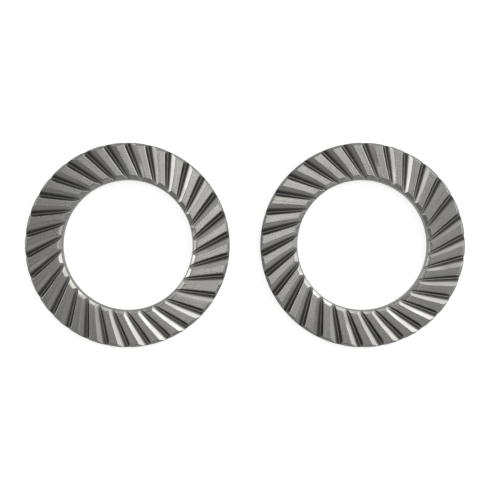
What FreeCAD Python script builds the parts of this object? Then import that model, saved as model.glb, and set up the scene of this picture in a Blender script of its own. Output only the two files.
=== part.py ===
import FreeCAD, Part
import math
import os

# A pair of serrated lock washers: two flat spring steel rings for a 10 mm bolt.
# Both lie on their smooth backs, side by side along X, with their teeth upwards.
# Going clockwise seen from above, a tooth is a ramp, a flat land and a steep flank.
# The valley between a flank and the next ramp is a straight groove that slants across the ring.
# The groove's floor slopes, so it is deep and wide at the rim, and shallow and narrow at the bore.
# Lengths are in millimetres and angles in degrees.

# Ring
outer_diameter = 16.0
bore_diameter = 10.2
thickness = 1.05

# Bevels on the toothed side, turned before the teeth are cut
bore_bevel_width = 0.33
bore_bevel_depth = 0.17
rim_bevel_width = 0.17
rim_bevel_depth = 0.15

# Edges of the smooth back: round at the rim, bevelled at the bore
rim_back_radius = 0.15
bore_back_bevel = 0.08

# Teeth: the ramp leans from the flat and the flank from the upright, both square to the groove
tooth_count = 30
tooth_depth_at_rim = 0.39
tooth_depth_at_bore = 0.21
ramp_angle = 31.0
flank_angle = 30.0
groove_floor_width = 0.06
groove_offset = 3.0

# Place of the two washers, and how far each is turned clockwise from a groove at +Y
washer_gap = 2.4
left_turn = -0.6
right_turn = 0.6

# How far the groove cutter stands above the land
cutter_margin = 0.05

outer_radius = outer_diameter / 2
bore_radius = bore_diameter / 2
along_x = FreeCAD.Vector(1, 0, 0)
along_y = FreeCAD.Vector(0, 1, 0)
up = FreeCAD.Vector(0, 0, 1)
centre = FreeCAD.Vector(0, 0, 0)


def line(start, end):
    """Straight edge between two points."""
    return Part.LineSegment(start, end).toShape()


def ring_blank():
    """The ring before its teeth are cut, turned from its profile."""

    def point(radius, height):
        return FreeCAD.Vector(radius, 0, height)

    back_inner = point(bore_radius + bore_back_bevel, 0)
    back_outer = point(outer_radius - rim_back_radius, 0)
    round_in_rim = rim_back_radius * (1 - math.sqrt(0.5))
    round_middle = point(outer_radius - round_in_rim, round_in_rim)
    rim_low = point(outer_radius, rim_back_radius)
    rim_high = point(outer_radius, thickness - rim_bevel_depth)
    land_outer = point(outer_radius - rim_bevel_width, thickness)
    land_inner = point(bore_radius + bore_bevel_width, thickness)
    bore_high = point(bore_radius, thickness - bore_bevel_depth)
    bore_low = point(bore_radius, bore_back_bevel)
    profile = Part.Wire([
        line(back_inner, back_outer),
        Part.Arc(back_outer, round_middle, rim_low).toShape(),
        line(rim_low, rim_high),
        line(rim_high, land_outer),
        line(land_outer, land_inner),
        line(land_inner, bore_high),
        line(bore_high, bore_low),
        line(bore_low, back_inner),
    ])
    return Part.Face(profile).revolve(centre, up, 360)


def groove_section():
    """Section of a groove, square to its floor: a narrow flat floor between the flank and the ramp."""
    height = tooth_depth_at_rim + cutter_margin
    half_floor = groove_floor_width / 2
    flank_run = height * math.tan(math.radians(flank_angle))
    ramp_run = height / math.tan(math.radians(ramp_angle))
    flank_foot = FreeCAD.Vector(-half_floor, 0, 0)
    ramp_foot = FreeCAD.Vector(half_floor, 0, 0)
    ramp_top = FreeCAD.Vector(half_floor + ramp_run, 0, height)
    flank_top = FreeCAD.Vector(-half_floor - flank_run, 0, height)
    return Part.makePolygon([flank_foot, ramp_foot, ramp_top, flank_top, flank_foot])


def groove_cutter():
    """What is cut away for one groove, beside the Y axis and sloping down towards the rim."""
    bore_reach = math.sqrt(bore_radius ** 2 - groove_offset ** 2)
    rim_reach = math.sqrt(outer_radius ** 2 - groove_offset ** 2)
    floor_at_bore = FreeCAD.Vector(groove_offset, bore_reach, thickness - tooth_depth_at_bore)
    floor_at_rim = FreeCAD.Vector(groove_offset, rim_reach, thickness - tooth_depth_at_rim)
    outwards = (floor_at_rim - floor_at_bore).normalize()
    cutter = Part.Face(groove_section()).extrude(along_y * outer_radius)
    cutter.rotate(centre, along_x, math.degrees(math.asin(outwards.z)))
    cutter.translate(floor_at_bore - outwards * bore_reach)
    return cutter


def toothed_ring():
    """One washer round the Z axis, with the rim end of one groove at +Y."""
    first = groove_cutter()
    rim_end_angle = math.degrees(math.asin(groove_offset / outer_radius))
    cutters = []
    for number in range(tooth_count):
        cutter = first.copy()
        cutter.rotate(centre, up, rim_end_angle - number * 360 / tooth_count)
        cutters.append(cutter)
    return ring_blank().cut(cutters)


def placed_washer(ring, middle_x, turn):
    """A copy of the ring at its place in the pair, turned clockwise seen from above."""
    washer = ring.copy()
    washer.rotate(centre, up, -turn)
    washer.translate(along_x * middle_x)
    return washer


ring = toothed_ring()
half_spacing = (outer_diameter + washer_gap) / 2
washers = {
    "left_washer": placed_washer(ring, -half_spacing, left_turn),
    "right_washer": placed_washer(ring, half_spacing, right_turn),
}

os.makedirs("parts", exist_ok=True)
for name, washer in washers.items():
    solid = washer.Solids[0]
    solid.exportStep("parts/" + name + ".step")
    print(name, "solids", len(washer.Solids), "valid", solid.isValid(), "volume", round(solid.Volume, 3))
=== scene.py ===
import bpy
import math
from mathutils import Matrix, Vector


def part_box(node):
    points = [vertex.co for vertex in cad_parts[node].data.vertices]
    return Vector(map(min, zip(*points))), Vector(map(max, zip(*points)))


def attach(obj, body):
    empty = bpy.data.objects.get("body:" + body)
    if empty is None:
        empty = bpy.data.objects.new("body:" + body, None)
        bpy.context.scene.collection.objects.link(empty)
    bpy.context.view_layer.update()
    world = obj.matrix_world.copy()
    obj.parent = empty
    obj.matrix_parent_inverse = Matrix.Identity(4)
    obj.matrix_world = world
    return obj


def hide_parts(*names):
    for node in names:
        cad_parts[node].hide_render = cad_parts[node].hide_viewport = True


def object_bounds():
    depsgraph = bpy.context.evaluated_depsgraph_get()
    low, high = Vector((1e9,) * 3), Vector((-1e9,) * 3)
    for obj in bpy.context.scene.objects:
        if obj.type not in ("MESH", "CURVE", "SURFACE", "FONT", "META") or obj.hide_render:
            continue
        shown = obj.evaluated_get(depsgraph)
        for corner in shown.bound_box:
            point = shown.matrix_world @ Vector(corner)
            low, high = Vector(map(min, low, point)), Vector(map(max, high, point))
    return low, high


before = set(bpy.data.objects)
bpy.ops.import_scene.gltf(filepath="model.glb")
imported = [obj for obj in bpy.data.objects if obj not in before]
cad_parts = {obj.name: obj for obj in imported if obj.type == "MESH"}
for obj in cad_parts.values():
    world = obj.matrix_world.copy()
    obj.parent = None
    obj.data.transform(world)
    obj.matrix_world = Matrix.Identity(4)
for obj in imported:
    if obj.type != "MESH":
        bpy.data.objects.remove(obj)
cad_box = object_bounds()

# A pair of serrated lock washers, lying side by side on their smooth backs, teeth up.
# Sizes on the washers are in millimetres. METRES turns them into the metres of the finished meshes.
METRES = 0.001

# Ring
OUTER_RADIUS = 8.0
BORE_RADIUS = 5.1
THICKNESS = 1.05
BORE_BEVEL_WIDTH = 0.33
BORE_BEVEL_DEPTH = 0.17
RIM_BEVEL_WIDTH = 0.17
RIM_BEVEL_DEPTH = 0.15
RIM_BACK_RADIUS = 0.15
BORE_BACK_BEVEL = 0.08

# Teeth, parted by straight grooves that pass beside the ring's middle at GROOVE_OFFSET.
# Other offsets are measured square to a groove, from the middle of its floor.
TEETH = 30
PITCH = math.radians(360 / TEETH)
DEPTH_AT_RIM = 0.39
DEPTH_AT_BORE = 0.21
RAMP_RISE = math.tan(math.radians(31.0))
FLANK_LEAN = math.tan(math.radians(30.0))
HALF_FLOOR = 0.03
GROOVE_OFFSET = 3.0

# Where across the groove its depth is taken, for the place of the ridge
USUAL_RIDGE_OFFSET = 0.4

# Near the bore the groove runs out: how much shallower its end is, over this share of its length
BORE_RUN_OUT = 0.045
RUN_OUT_LENGTH = 0.45

# How far each washer is turned clockwise from a groove at +Y, in degrees
TURNS = {"left_washer": -0.6, "right_washer": 0.6}

# Softness of the coined edges: two faces blend where their heights differ by less than this
LAND_EDGE = 0.024
RIDGE_EDGE = 0.014
FLANK_EDGE = 0.060
VALLEY_EDGE = 0.016

# Rounds between the toothed side and the walls, and at the lands' corners on the rim
RIM_EDGE = 0.035
BORE_EDGE = 0.100
CORNER_RADIUS = 0.12

# Lines of the mesh along a tooth: how far they stand from the edges that they follow
FLANK_LINE_ON_LAND = 0.07
FLANK_LINE_BELOW = 0.05
FLOOR_LINE = 0.012
RAMP_FOOT_LINE = 0.02
RIDGE_LINE_NEAR = 0.024
RIDGE_LINE_FAR = 0.06

# Rows of the mesh round the section, on the toothed side: their places and how many there are
PAST_BORE_BEVEL = 0.06
BEFORE_RIM = 0.26
BEVEL_ROWS = 12
LAND_ROWS = 9
RIM_ROWS = 9

# Angles of the rows on the rounds at bore and rim
EDGE_ANGLES = [math.radians(degrees) for degrees in (0, 22, 45, 68, 90)]

# On the walls a row lies just under the rounds, and level ones keep the wall smooth at these heights
UNDER_EDGE = 0.025
RIM_WALL_ROW = 0.52
BORE_WALL_ROW = 0.62

# On the back: how many rows its round has, and how far other rows lie from rim, bore and bevel
BACK_ROUND_ROWS = 6
BACK_ROW_AT_RIM = 0.4
BACK_ROW_AT_BORE = 0.3
BESIDE_BACK_BEVEL = 0.02
ON_BACK_BEVEL = 0.01

# Points that are nearer than this are joined, which closes the ring from tooth to tooth
WELD_DISTANCE = 0.0012

# Painted shade in the steel's colour, where 0 is none: grooves, rounds and walls are darkened as if
# in shade. On the flank it is full at the first depth below under the edge.
# Up the ramp it fades between the two shares below of the ramp's width.
FLANK_SHADE_DEPTH = 0.04
FLANK_SHADE = 0.88
FLOOR_SHADE = 0.38
RAMP_SHADE = 1.00
RAMP_SHADE_FADE_START = 0.25
RAMP_SHADE_FADE_END = 0.61
# Painted shade on the corners by the rim, the rim bevel, the rounds at rim and bore, and the walls
CORNER_SHADE = 0.85
RIM_BEVEL_SHADE = 0.70
RIM_EDGE_SHADE = 0.95
MOUTH_EDGE_SHADE = 0.15
BORE_EDGE_SHADE = 0.70
RIM_WALL_SHADE = 0.84
BORE_WALL_SHADE = 0.95
BACK_EDGE_SHADE = 1.10

# In a groove the painted shade is lighter by a share beside the bore, and on the flank beside the rim
# too.
# The share fades out between two distances from bore or rim.
MOUTH_LESS_SHADE = 0.30
MOUTH_FADE = (0.05, 0.30)
BORE_LESS_SHADE = 0.50
BORE_FADE = (0.10, 0.55)

# Steel, and what the painted shade does to it: the share of brightness that it takes and the
# roughness it adds
STEEL_COLOUR = (0.505, 0.498, 0.470)
RAMP_ROUGHNESS = 0.12
LAND_ROUGHNESS = 0.25
GRAIN_ROUGHNESS = 0.03
SHADE_DARKNESS = 0.72
SHADE_ROUGHNESS = 0.35

# Upright part of a face's normal: from wall to tooth, and from ramp to land
WALL_NORMAL = (0.1, 0.35)
LAND_NORMAL = (0.93, 0.995)

# Grain and streaks: the share of coarse grain, and the strength of both on ramps and on lands
FROST_SHARE = 0.15
GRAIN_ON_RAMPS = 0.4
GRAIN_ON_LANDS = 1.0
STREAKS_ON_RAMPS = 0.24
STREAKS_ON_LANDS = 0.66

# How strongly each pattern changes the steel's brightness, and how they lift its surface
GRAIN_TONE = 0.45
STREAK_TONE = 1.3
STAIN_TONE = 2.0
CLOUD_TONE = 0.16
WALL_RELIEF = 2.0
BUMP_STRENGTH = 0.08
BUMP_DEPTH = 0.01

# Streaks of the drawn strip run along the teeth, and are spaced as they are at STREAK_RADIUS.
# Each washer shows another part of the pattern.
STREAK_RADIUS = 6.5
STREAK_PLACES = {"left_washer": 3.0, "right_washer": 8.0}

# How dense the streaks are across and along a tooth, and the fine lines round and up the walls
STREAK_DENSITY = (7, 0.28, 1)
WALL_LINE_DENSITY = (0.6, 0.6, 9)


# Shape of one tooth

def softer_min(a, b, reach):
    """The lower of two heights, with the crease between them worn round."""
    share = min(1.0, max(0.0, 0.5 + 0.5 * (b - a) / reach))
    return b + (a - b) * share - reach * share * (1 - share)


def softer_max(a, b, reach):
    """The higher of two heights, with the crease between them filled a little."""
    return -softer_min(-a, -b, reach)


def fading(value, start, end):
    """1 up to start, 0 from end on, and a smooth fall between them."""
    share = min(1.0, max(0.0, (end - value) / (end - start)))
    return share * share * (3 - 2 * share)


def along_groove(radius, offset=0.0):
    """Distance along the groove at a radius and at an offset from its middle."""
    return math.sqrt(max(0.0, radius ** 2 - (GROOVE_OFFSET + offset) ** 2))


GROOVE_START = along_groove(BORE_RADIUS)
GROOVE_LENGTH = along_groove(OUTER_RADIUS) - GROOVE_START


def groove_depth(along):
    """Depth of the groove's floor below the lands."""
    share = (along - GROOVE_START) / GROOVE_LENGTH
    straight = DEPTH_AT_BORE + (DEPTH_AT_RIM - DEPTH_AT_BORE) * share
    return straight - BORE_RUN_OUT * fading(share, 0.0, RUN_OUT_LENGTH)


def flank_top(radius):
    """Offset of the edge between the land and the steep flank."""
    return -HALF_FLOOR - groove_depth(along_groove(radius)) * FLANK_LEAN


def ridge(radius):
    """Offset of the edge between the ramp and the land."""
    return HALF_FLOOR + groove_depth(along_groove(radius, USUAL_RIDGE_OFFSET)) / RAMP_RISE


def middle_of_land(radius):
    """Angle from the groove's direction to the middle of the land past the ridge."""
    ridge_angle = math.asin((GROOVE_OFFSET + ridge(radius)) / radius)
    next_flank = math.asin((GROOVE_OFFSET + flank_top(radius)) / radius) + PITCH
    return (ridge_angle + next_flank) / 2


def land_height(radius):
    """Height of the lands and of their bevels at the bore and the rim."""
    bore_bevel = THICKNESS - BORE_BEVEL_DEPTH * (1 - (radius - BORE_RADIUS) / BORE_BEVEL_WIDTH)
    rim_bevel = THICKNESS - RIM_BEVEL_DEPTH * (1 - (OUTER_RADIUS - radius) / RIM_BEVEL_WIDTH)
    return softer_min(softer_min(THICKNESS, bore_bevel, LAND_EDGE), rim_bevel, LAND_EDGE)


def valley_height(radius, offset):
    """Height of the groove's flank, floor and ramp, with the flank's corner at the rim rounded."""
    floor = THICKNESS - groove_depth(along_groove(radius, offset))
    ramp = floor + (offset - HALF_FLOOR) * RAMP_RISE
    flank = floor + (-offset - HALF_FLOOR) / FLANK_LEAN
    from_flank = flank_top(radius) - offset
    from_rim = OUTER_RADIUS - radius
    if -CORNER_RADIUS < from_flank < CORNER_RADIUS and from_rim < CORNER_RADIUS:
        inside = CORNER_RADIUS - math.hypot(CORNER_RADIUS - from_flank, CORNER_RADIUS - from_rim)
        flank = min(flank, THICKNESS + inside / FLANK_LEAN)
    return softer_max(softer_max(floor, ramp, VALLEY_EDGE), flank, VALLEY_EDGE)


def top_height(radius, offset):
    """Height of the toothed side at a radius and an offset from the groove's middle."""
    edge = RIDGE_EDGE if offset > 0 else FLANK_EDGE
    return softer_min(land_height(radius), valley_height(radius, offset), edge)


def top_shade(radius, offset):
    """Painted shade on the toothed side: full on the flank, less on the floor, fading up the ramp."""
    under = land_height(radius) - valley_height(radius, offset)
    near_rim = radius > OUTER_RADIUS - RIM_BEVEL_WIDTH
    # Lands get painted shade only on the rim bevel
    if under < 0:
        return RIM_BEVEL_SHADE if near_rim else 0.0
    shade_left = 1 - BORE_LESS_SHADE * fading(radius - BORE_RADIUS, *BORE_FADE)
    if offset < -HALF_FLOOR:
        painted_shade = FLANK_SHADE * min(1.0, under / FLANK_SHADE_DEPTH) * shade_left
        painted_shade *= 1 - MOUTH_LESS_SHADE * fading(OUTER_RADIUS - radius, *MOUTH_FADE)
        return max(painted_shade, CORNER_SHADE) if near_rim else painted_shade
    if offset < HALF_FLOOR:
        return FLOOR_SHADE * shade_left
    up_ramp = (offset - HALF_FLOOR) / (ridge(radius) - HALF_FLOOR)
    return RAMP_SHADE * fading(up_ramp, RAMP_SHADE_FADE_START, RAMP_SHADE_FADE_END) * shade_left


def section_shade(radius, offset, kind, amount):
    """Painted shade anywhere on the section: strong on walls and rounds, none on the flat back.

    On the round at the rim, only the outermost edge of a groove's mouth has little painted shade.
    """
    if kind != "top":
        if radius < BORE_RADIUS + BORE_BACK_BEVEL:
            return BORE_WALL_SHADE
        if radius < OUTER_RADIUS - RIM_BACK_RADIUS:
            return 0.0
        return BACK_EDGE_SHADE if kind == "level" and amount < RIM_BACK_RADIUS else RIM_WALL_SHADE
    if radius > OUTER_RADIUS - RIM_EDGE:
        on_land = land_height(radius) < valley_height(radius, offset)
        return RIM_EDGE_SHADE if on_land or amount < RIM_EDGE / 2 else MOUTH_EDGE_SHADE
    if radius < BORE_RADIUS + BORE_EDGE:
        return max(BORE_EDGE_SHADE, top_shade(radius, offset))
    return top_shade(radius, offset)


def streak_across(radius, offset):
    """Distance across the streaks, which pass beside the ring's middle as the grooves do."""
    turned = math.asin((GROOVE_OFFSET + offset) / radius) - math.asin(GROOVE_OFFSET / radius)
    return STREAK_RADIUS * turned


def spread(start, end, steps):
    """Evenly spaced values from start up to, but without, end."""
    return [start + (end - start) * i / steps for i in range(steps)]


def offsets_across(radius):
    """Offsets of the tooth's lengthwise lines at a radius, from one land's middle to the next."""
    first = radius * math.sin(middle_of_land(radius) - PITCH) - GROOVE_OFFSET
    last = radius * math.sin(middle_of_land(radius)) - GROOVE_OFFSET
    top = flank_top(radius)
    crest = ridge(radius)
    starts_and_steps = [
        (first, 3),
        (top - FLANK_LINE_ON_LAND, 7),
        (top + FLANK_LINE_BELOW, 3),
        (-HALF_FLOOR - FLOOR_LINE, 3),
        (-HALF_FLOOR + FLOOR_LINE, 1),
        (HALF_FLOOR - FLOOR_LINE, 3),
        (HALF_FLOOR + RAMP_FOOT_LINE, 8),
        (crest - RIDGE_LINE_FAR, 1),
        (crest - RIDGE_LINE_NEAR, 4),
        (crest + RIDGE_LINE_NEAR, 1),
        (crest + RIDGE_LINE_FAR, 3),
    ]
    ends = [start for start, steps in starts_and_steps[1:]] + [last]
    across = []
    for (start, steps), end in zip(starts_and_steps, ends):
        across += spread(start, end, steps)
    return across + [last]


def section_rows():
    """The closed section as rows of (radius, how the height is found, amount).

    A "top" row and an "under edge" row lie the amount below the toothed side, the second one on
    a wall. A "level" row lies the amount above the back.
    """
    rows = []
    for angle in EDGE_ANGLES:
        inwards = BORE_EDGE * (1 - math.cos(angle))
        rows.append((BORE_RADIUS + inwards, "top", BORE_EDGE * (1 - math.sin(angle))))
    bevel_end = BORE_RADIUS + BORE_BEVEL_WIDTH + PAST_BORE_BEVEL
    land_end = OUTER_RADIUS - BEFORE_RIM
    radii = spread(BORE_RADIUS + BORE_EDGE, bevel_end, BEVEL_ROWS)[1:]
    radii += spread(bevel_end, land_end, LAND_ROWS)
    radii += spread(land_end, OUTER_RADIUS - RIM_EDGE, RIM_ROWS)
    rows += [(radius, "top", 0.0) for radius in radii]
    for angle in EDGE_ANGLES:
        inwards = RIM_EDGE * (1 - math.sin(angle))
        rows.append((OUTER_RADIUS - inwards, "top", RIM_EDGE * (1 - math.cos(angle))))

    rows.append((OUTER_RADIUS, "under edge", RIM_EDGE + UNDER_EDGE))
    rows.append((OUTER_RADIUS, "level", RIM_WALL_ROW))
    rows.append((OUTER_RADIUS, "level", (RIM_WALL_ROW + RIM_BACK_RADIUS) / 2))
    for angle in spread(0, math.pi / 2, BACK_ROUND_ROWS) + [math.pi / 2]:
        inwards = RIM_BACK_RADIUS * (1 - math.cos(angle))
        rows.append((OUTER_RADIUS - inwards, "level", RIM_BACK_RADIUS * (1 - math.sin(angle))))

    rows.append((OUTER_RADIUS - BACK_ROW_AT_RIM, "level", 0.0))
    rows.append((BORE_RADIUS + BACK_ROW_AT_BORE, "level", 0.0))
    rows.append((BORE_RADIUS + BORE_BACK_BEVEL + BESIDE_BACK_BEVEL, "level", 0.0))
    rows.append((BORE_RADIUS + BORE_BACK_BEVEL - ON_BACK_BEVEL, "level", ON_BACK_BEVEL))
    rows.append((BORE_RADIUS + ON_BACK_BEVEL, "level", BORE_BACK_BEVEL - ON_BACK_BEVEL))
    rows.append((BORE_RADIUS, "level", BORE_BACK_BEVEL + BESIDE_BACK_BEVEL))
    rows.append((BORE_RADIUS, "level", (BORE_WALL_ROW + BORE_BACK_BEVEL) / 2))
    rows.append((BORE_RADIUS, "level", BORE_WALL_ROW))
    rows.append((BORE_RADIUS, "under edge", BORE_EDGE + UNDER_EDGE))
    return rows


def tooth_mesh():
    """One tooth with its share of the ring, open only at the middles of its two lands."""
    points, uvs, shades, faces = [], [], [], []
    rows = section_rows()
    across = len(offsets_across(OUTER_RADIUS))
    for radius, kind, amount in rows:
        for offset in offsets_across(radius):
            height = amount if kind == "level" else top_height(radius, offset) - amount
            along = along_groove(radius, offset)
            points.append(((GROOVE_OFFSET + offset) * METRES, along * METRES, height * METRES))
            uvs.append((streak_across(radius, offset), along))
            shades.append(section_shade(radius, offset, kind, amount))
    for i in range(len(rows)):
        for j in range(across - 1):
            here = i * across + j
            beyond = (i + 1) % len(rows) * across + j
            faces.append((here, here + 1, beyond + 1, beyond))
    mesh = bpy.data.meshes.new("tooth")
    mesh.from_pydata(points, [], faces)
    layer = mesh.uv_layers.new(name="along_tooth")
    for loop in mesh.loops:
        layer.data[loop.index].uv = uvs[loop.vertex_index]
    # Painted shade per point, which the steel turns into darker colour and more roughness
    painted_shade = mesh.attributes.new("shade_in_base_colour", "FLOAT", "POINT")
    painted_shade.data.foreach_set("value", shades)
    mesh.update()
    return mesh


# Node trees

class Tree:
    """A node tree with short calls for the nodes used here."""

    def __init__(self, tree):
        self.tree = tree

    def add(self, kind, **values):
        """A new node with some of its settings."""
        node = self.tree.nodes.new(kind)
        for key, value in values.items():
            setattr(node, key, value)
        return node

    def put(self, value, socket):
        """Links an output to an input socket, or gives the socket a plain value."""
        if isinstance(value, bpy.types.NodeSocket):
            self.tree.links.new(value, socket)
        else:
            socket.default_value = value

    def made(self, kind, inputs, **values):
        """The first output of a new node whose inputs are filled by name."""
        node = self.add(kind, **values)
        for name, value in inputs.items():
            self.put(value, node.inputs[name])
        return node.outputs[0]

    def math(self, operation, a, b):
        """The result of one operation on two numbers."""
        node = self.add("ShaderNodeMath", operation=operation)
        self.put(a, node.inputs[0])
        self.put(b, node.inputs[1])
        return node.outputs[0]

    def plus(self, a, b):
        return self.math("ADD", a, b)

    def minus(self, a, b):
        return self.math("SUBTRACT", a, b)

    def times(self, a, b):
        return self.math("MULTIPLY", a, b)


class Shader(Tree):
    """A new material's node tree."""

    def __init__(self, name):
        self.material = bpy.data.materials.new(name)
        self.material.use_nodes = True
        super().__init__(self.material.node_tree)
        self.tree.nodes.clear()

    def ranged(self, value, low, high, to_low, to_high):
        """A value moved smoothly from one range to another."""
        node = self.add("ShaderNodeMapRange", interpolation_type="SMOOTHSTEP")
        for socket, amount in zip(node.inputs, (value, low, high, to_low, to_high)):
            self.put(amount, socket)
        return node.outputs[0]

    def noise(self, vector, scale, detail, roughness):
        """A cloudy pattern round 0.5."""
        inputs = {"Vector": vector, "Scale": scale, "Detail": detail, "Roughness": roughness}
        return self.made("ShaderNodeTexNoise", inputs)

    def stretched(self, vector, scale, place=(0, 0, 0)):
        """A pattern's coordinates, stretched and moved."""
        inputs = {"Vector": vector, "Location": place, "Scale": scale}
        return self.made("ShaderNodeMapping", inputs)

    def finished(self, surface):
        """The material, with its surface set."""
        output = self.add("ShaderNodeOutputMaterial")
        self.put(surface, output.inputs["Surface"])
        return self.material


# Rings of teeth

RING_INPUTS = {
    "Tooth": "NodeSocketGeometry",
    "Teeth": "NodeSocketInt",
    "Turn": "NodeSocketFloat",
    "Middle": "NodeSocketVector",
    "Weld Distance": "NodeSocketFloat",
    "Streak Place": "NodeSocketFloat",
    "Steel": "NodeSocketMaterial",
}


def teeth_tree():
    """Geometry Nodes: one tooth repeated round the ring, joined and set in its place."""
    tree = bpy.data.node_groups.new("ring_of_teeth", "GeometryNodeTree")
    for name, kind in RING_INPUTS.items():
        tree.interface.new_socket(name, in_out="INPUT", socket_type=kind)
    tree.interface.new_socket("Ring", in_out="OUTPUT", socket_type="NodeSocketGeometry")
    nodes = Tree(tree)
    sizes = nodes.add("NodeGroupInput").outputs
    result = nodes.add("NodeGroupOutput").inputs

    places = nodes.made("GeometryNodePoints", {"Count": sizes["Teeth"]})
    pitch = nodes.math("DIVIDE", -2 * math.pi, sizes["Teeth"])
    number = nodes.made("GeometryNodeInputIndex", {})
    angle = nodes.times(number, pitch)
    teeth = nodes.made("GeometryNodeInstanceOnPoints", {
        "Points": places,
        "Instance": sizes["Tooth"],
        "Rotation": nodes.made("ShaderNodeCombineXYZ", {"Z": angle}),
    })

    streaks_turned = nodes.times(angle, -STREAK_RADIUS)
    inputs = {"X": streaks_turned, "Z": sizes["Streak Place"]}
    shift = nodes.made("ShaderNodeCombineXYZ", inputs)
    inputs = {"Geometry": teeth, "Name": "tooth_shift", "Value": shift}
    vectors = {"data_type": "FLOAT_VECTOR"}
    teeth = nodes.made("GeometryNodeStoreNamedAttribute", inputs, domain="INSTANCE", **vectors)
    ring = nodes.made("GeometryNodeRealizeInstances", {"Geometry": teeth})
    own_shift = nodes.made("GeometryNodeInputNamedAttribute", {"Name": "tooth_shift"}, **vectors)
    inputs = {"Geometry": ring, "Name": "tooth_shift", "Value": own_shift}
    ring = nodes.made("GeometryNodeStoreNamedAttribute", inputs, domain="FACE", **vectors)

    inputs = {"Geometry": ring, "Distance": sizes["Weld Distance"]}
    ring = nodes.made("GeometryNodeMergeByDistance", inputs)
    ring = nodes.made("GeometryNodeTransform", {
        "Geometry": ring,
        "Translation": sizes["Middle"],
        "Rotation": nodes.made("ShaderNodeCombineXYZ", {"Z": sizes["Turn"]}),
    })
    ring = nodes.made("GeometryNodeSetShadeSmooth", {"Geometry": ring})
    ring = nodes.made("GeometryNodeSetMaterial", {"Geometry": ring, "Material": sizes["Steel"]})
    nodes.put(ring, result["Ring"])
    return tree


def toothed_ring(node, tooth, tree, steel):
    """The finished mesh of one washer, in the place of its node."""
    low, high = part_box(node)
    middle = (Vector(low) + Vector(high)) / 2
    rim_end = math.asin(GROOVE_OFFSET / OUTER_RADIUS)
    values = {
        "Teeth": TEETH,
        "Turn": rim_end - math.radians(TURNS[node]),
        "Middle": (middle.x, middle.y, low[2]),
        "Weld Distance": WELD_DISTANCE * METRES,
        "Streak Place": STREAK_PLACES[node],
        "Steel": steel,
    }
    maker = bpy.data.objects.new("maker", tooth)
    bpy.context.scene.collection.objects.link(maker)
    modifier = maker.modifiers.new("ring_of_teeth", "NODES")
    modifier.node_group = tree
    for item in tree.interface.items_tree:
        if item.in_out == "INPUT" and item.name in values:
            modifier[item.identifier] = values[item.name]
    depsgraph = bpy.context.evaluated_depsgraph_get()
    mesh = bpy.data.meshes.new_from_object(maker.evaluated_get(depsgraph), depsgraph=depsgraph)
    bpy.data.objects.remove(maker)
    mesh.name = node + "_ring"
    ring = bpy.data.objects.new(node + "_ring", mesh)
    bpy.context.scene.collection.objects.link(ring)
    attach(ring, "root")
    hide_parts(node)


# Finish of the washers

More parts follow.
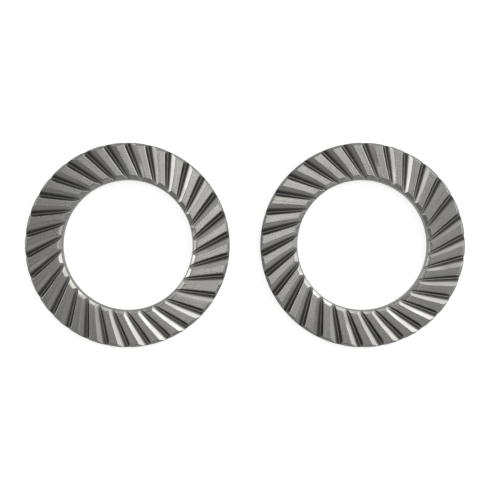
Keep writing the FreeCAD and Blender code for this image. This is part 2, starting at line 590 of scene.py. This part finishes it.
def spring_steel():
    """Bare spring steel: frosty lands, smoother coined ramps, fine lines round the walls, and shade
    painted into grooves, rounds and walls.
    """
    nodes = Shader("spring_steel_satin")
    place = nodes.add("ShaderNodeTexCoord").outputs
    normal = nodes.add("ShaderNodeSeparateXYZ")
    nodes.put(place["Normal"], normal.inputs[0])
    upright = nodes.math("ABSOLUTE", normal.outputs["Z"], 0.0)
    flat = nodes.ranged(upright, *LAND_NORMAL, 0.0, 1.0)
    wall = nodes.ranged(upright, *WALL_NORMAL, 1.0, 0.0)

    millimetres = nodes.stretched(place["Object"], (1 / METRES, 1 / METRES, 1 / METRES))
    round_wall = nodes.stretched(millimetres, WALL_LINE_DENSITY)
    shift = nodes.add("ShaderNodeAttribute", attribute_name="tooth_shift").outputs["Vector"]
    on_tooth = nodes.add("ShaderNodeUVMap", uv_map="along_tooth").outputs[0]
    on_ring = nodes.stretched(on_tooth, (1, 1, 1), place=shift)
    along_tooth = nodes.stretched(on_ring, STREAK_DENSITY)

    # A pattern's scale is about how many spots it has in a millimetre
    streaks = nodes.noise(along_tooth, scale=1, detail=5, roughness=0.74)
    around = nodes.noise(round_wall, scale=1, detail=3, roughness=0.65)
    patches = nodes.noise(millimetres, scale=0.24, detail=1, roughness=0.5)
    frost = nodes.noise(millimetres, scale=12, detail=3, roughness=0.65)
    fine = nodes.noise(millimetres, scale=45, detail=2, roughness=0.6)
    cloud = nodes.noise(millimetres, scale=0.9, detail=2, roughness=0.5)

    grain_strength = nodes.ranged(flat, 0, 1, GRAIN_ON_RAMPS, GRAIN_ON_LANDS)
    upwards = normal.outputs["Z"]
    streak_strength = nodes.ranged(upwards, *LAND_NORMAL, STREAKS_ON_RAMPS, STREAKS_ON_LANDS)
    mottle = nodes.plus(nodes.times(frost, FROST_SHARE), nodes.times(fine, 1 - FROST_SHARE))
    grain = nodes.times(nodes.minus(mottle, 0.5), grain_strength)
    drawn = nodes.times(nodes.minus(streaks, 0.5), streak_strength)
    turned = nodes.times(nodes.minus(around, 0.5), wall)
    stained = nodes.times(nodes.minus(patches, 0.5), wall)
    clouded = nodes.minus(cloud, 0.5)

    tone = nodes.plus(nodes.times(grain, GRAIN_TONE), nodes.times(drawn, STREAK_TONE))
    tone = nodes.plus(tone, nodes.plus(turned, nodes.times(stained, STAIN_TONE)))
    tone = nodes.plus(tone, nodes.times(clouded, CLOUD_TONE))
    # Painted shade from the mesh darkens the colour of grooves, rounds and walls, and makes them
    # rougher
    painted_shade = nodes.add("ShaderNodeAttribute", attribute_name="shade_in_base_colour").outputs["Fac"]
    unshaded = nodes.minus(1.0, nodes.times(painted_shade, SHADE_DARKNESS))
    colour = nodes.add("ShaderNodeVectorMath", operation="SCALE")
    nodes.put(STEEL_COLOUR, colour.inputs[0])
    nodes.put(nodes.times(nodes.plus(tone, 1.0), unshaded), colour.inputs["Scale"])

    roughness = nodes.ranged(flat, 0, 1, RAMP_ROUGHNESS, LAND_ROUGHNESS)
    roughness = nodes.plus(roughness, nodes.times(mottle, GRAIN_ROUGHNESS))
    roughness = nodes.plus(roughness, nodes.times(painted_shade, SHADE_ROUGHNESS))
    relief = nodes.plus(nodes.plus(grain, drawn), nodes.times(turned, WALL_RELIEF))
    bump = nodes.made("ShaderNodeBump", {
        "Strength": BUMP_STRENGTH,
        "Distance": BUMP_DEPTH * METRES,
        "Height": relief,
    })
    return nodes.finished(nodes.made("ShaderNodeBsdfPrincipled", {
        "Metallic": 1.0,
        "Base Color": colour.outputs[0],
        "Roughness": roughness,
        "Normal": bump,
    }))


# Studio. Its sizes are in metres.

# Floor: level out to the last of FLOOR_RADII, then curved up into a low wall
FLOOR_RADII = (0.03, 0.15, 0.55)
FLOOR_CURVE = 0.12
FLOOR_WALL = 0.14
FLOOR_STEPS = 64

# How far the floor lies under the washers
FLOOR_GAP = 0.00001

# The floor glows for the camera and in reflections. For the camera its glow grows from NEAR_FLOOR on,
# and it is full white from FAR_FLOOR on, both measured from the middle.
FLOOR_COLOUR = (0.8, 0.8, 0.8, 1)
FLOOR_GLOW = 0.72
NEAR_FLOOR = 0.06
FAR_FLOOR = 0.20

# Rows of softboxes: the elevation, width and height of a row's boxes in degrees, then the brightness
# of the box at each clock angle
SOFTBOX_ROWS = {
    "ring_softbox": (31, 15, 28, {
        0: 0.36, 15: 0.57, 30: 0.85, 45: 1.10, 60: 1.01, 75: 0.77, 90: 0.37, 105: 0.12,
        120: 0.13, 135: 0.13, 150: 0.14, 165: 0.13, 180: 0.10, 195: 0.08, 210: 0.05, 225: 0.04,
        240: 0.04, 255: 0.05, 270: 0.60, 285: 1.08, 300: 0.67, 315: 0.22, 330: 0.17, 345: 0.29,
    }),
    "high_softbox": (56, 30, 20, {60: 0.95, 90: 0.36, 120: 0.20}),
    "low_softbox": (9, 30, 14, {30: 0.45, 60: 0.90, 90: 0.70}),
}

# Lamps above: how far off the upright each one is towards +Y and how wide, in degrees, and how bright
OVERHEAD_LAMPS = {
    "overhead_softbox": (2.75, 11, 1.64),
    "overhead_near": (-2.75, 11, 0.58),
    "overhead_far": (8.25, 22, 0.55),
    "overhead_farthest": (13.75, 11, 1.60),
}

# How tall each lamp above is, in degrees
OVERHEAD_TALL = 5.5

# How far off the softboxes stand, and how high the lamps above hang
LAMP_DISTANCE = 0.45

# The power of a lamp is this times its brightness and its area
LAMP_POWER = 4

ROOM_GREY = (0.2, 0.2, 0.2, 1)

# The camera stands this far above the washers, and the pair fills this share of the picture's width
CAMERA_DISTANCE = 0.085
PICTURE_SHARE = 441 / 490


def studio_white():
    """White floor that still shows a faint shadow, and that metal reflects as white."""
    nodes = Shader("studio_white")
    rays = nodes.add("ShaderNodeLightPath").outputs
    seen = nodes.math("MAXIMUM", rays["Is Camera Ray"], rays["Is Glossy Ray"])
    seen = nodes.math("MAXIMUM", seen, rays["Is Transmission Ray"])
    place = nodes.add("ShaderNodeTexCoord").outputs
    from_middle = nodes.add("ShaderNodeVectorMath", operation="LENGTH")
    nodes.put(place["Object"], from_middle.inputs[0])
    far = nodes.ranged(from_middle.outputs["Value"], NEAR_FLOOR, FAR_FLOOR, 0.0, 1 - FLOOR_GLOW)
    backdrop = nodes.times(rays["Is Camera Ray"], far)
    strength = nodes.plus(nodes.times(seen, FLOOR_GLOW), backdrop)
    both = nodes.add("ShaderNodeAddShader")
    nodes.put(nodes.made("ShaderNodeBsdfDiffuse", {"Color": FLOOR_COLOUR}), both.inputs[0])
    nodes.put(nodes.made("ShaderNodeEmission", {"Strength": strength}), both.inputs[1])
    return nodes.finished(both.outputs[0])


def studio_floor():
    """A round floor whose edge sweeps up into a low wall, so that it has no horizon."""
    edge = FLOOR_RADII[-1]
    profile = [(radius, 0.0) for radius in FLOOR_RADII]
    for degrees in range(10, 91, 10):
        angle = math.radians(degrees)
        profile.append((edge + FLOOR_CURVE * math.sin(angle), FLOOR_CURVE * (1 - math.cos(angle))))
    profile.append((edge + FLOOR_CURVE, FLOOR_WALL))
    points = [(0.0, 0.0, -FLOOR_GAP)]
    faces = []
    for radius, height in profile:
        for i in range(FLOOR_STEPS):
            angle = 2 * math.pi * i / FLOOR_STEPS
            points.append((radius * math.cos(angle), radius * math.sin(angle), height - FLOOR_GAP))
    for i in range(FLOOR_STEPS):
        faces.append((0, 1 + i, 1 + (i + 1) % FLOOR_STEPS))
    for row in range(len(profile) - 1):
        for i in range(FLOOR_STEPS):
            here = 1 + row * FLOOR_STEPS + i
            beside = 1 + row * FLOOR_STEPS + (i + 1) % FLOOR_STEPS
            faces.append((here, here + FLOOR_STEPS, beside + FLOOR_STEPS, beside))
    mesh = bpy.data.meshes.new("studio_floor")
    mesh.from_pydata(points, [], faces)
    mesh.shade_smooth()
    floor = bpy.data.objects.new("studio_floor", mesh)
    floor.data.materials.append(studio_white())
    bpy.context.scene.collection.objects.link(floor)


def area_lamp(name, wide, tall, brightness):
    """An area lamp that the camera doesn't see, with its width and height as angles."""
    lamp = bpy.data.lights.new(name, "AREA")
    lamp.shape = "RECTANGLE"
    lamp.size = 2 * LAMP_DISTANCE * math.tan(math.radians(wide / 2))
    lamp.size_y = 2 * LAMP_DISTANCE * math.tan(math.radians(tall / 2))
    lamp.energy = brightness * LAMP_POWER * lamp.size * lamp.size_y
    box = bpy.data.objects.new(name, lamp)
    box.visible_camera = False
    bpy.context.scene.collection.objects.link(box)
    return box


def softbox(name, clock, elevation, wide, tall, brightness):
    """A lamp that faces the washers. Its clock angle runs clockwise from +Y, seen from above."""
    box = area_lamp(name, wide, tall, brightness)
    clock, elevation = math.radians(clock), math.radians(elevation)
    level = math.cos(elevation)
    towards = Vector((math.sin(clock) * level, math.cos(clock) * level, math.sin(elevation)))
    box.location = towards * LAMP_DISTANCE
    box.rotation_euler = towards.to_track_quat("Z", "Y").to_euler()


def studio_light():
    """Plain soft studio light: rows of softboxes round the washers, lamps above and a grey room."""
    for row, (elevation, wide, tall, boxes) in SOFTBOX_ROWS.items():
        for clock, brightness in boxes.items():
            softbox("%s_%d" % (row, clock), clock, elevation, wide, tall, brightness)
    for name, (tilt, wide, brightness) in OVERHEAD_LAMPS.items():
        box = area_lamp(name, wide, OVERHEAD_TALL, brightness)
        box.location = (0, LAMP_DISTANCE * math.tan(math.radians(tilt)), LAMP_DISTANCE)
    world = bpy.data.worlds.new("grey_room")
    world.use_nodes = True
    world.node_tree.nodes["Background"].inputs["Color"].default_value = ROOM_GREY
    bpy.context.scene.world = world


def studio_camera():
    """Straight above the pair, with +X to the right and +Y up the picture."""
    low, high = cad_box
    half_width = (high[0] - low[0]) / 2
    camera = bpy.data.cameras.new("camera")
    camera.sensor_width = 36.0
    camera.lens = camera.sensor_width / 2 * CAMERA_DISTANCE * PICTURE_SHARE / half_width
    camera.clip_start = 0.005
    camera.clip_end = 10.0
    holder = bpy.data.objects.new("camera", camera)
    holder.location = (0, 0, high[2] + CAMERA_DISTANCE)
    bpy.context.scene.collection.objects.link(holder)
    bpy.context.scene.camera = holder


bpy.context.scene.view_settings.view_transform = "Standard"
steel = spring_steel()
tooth = tooth_mesh()
tree = teeth_tree()
toothed_ring("left_washer", tooth, tree, steel)
toothed_ring("right_washer", tooth, tree, steel)
studio_floor()
studio_light()
studio_camera()
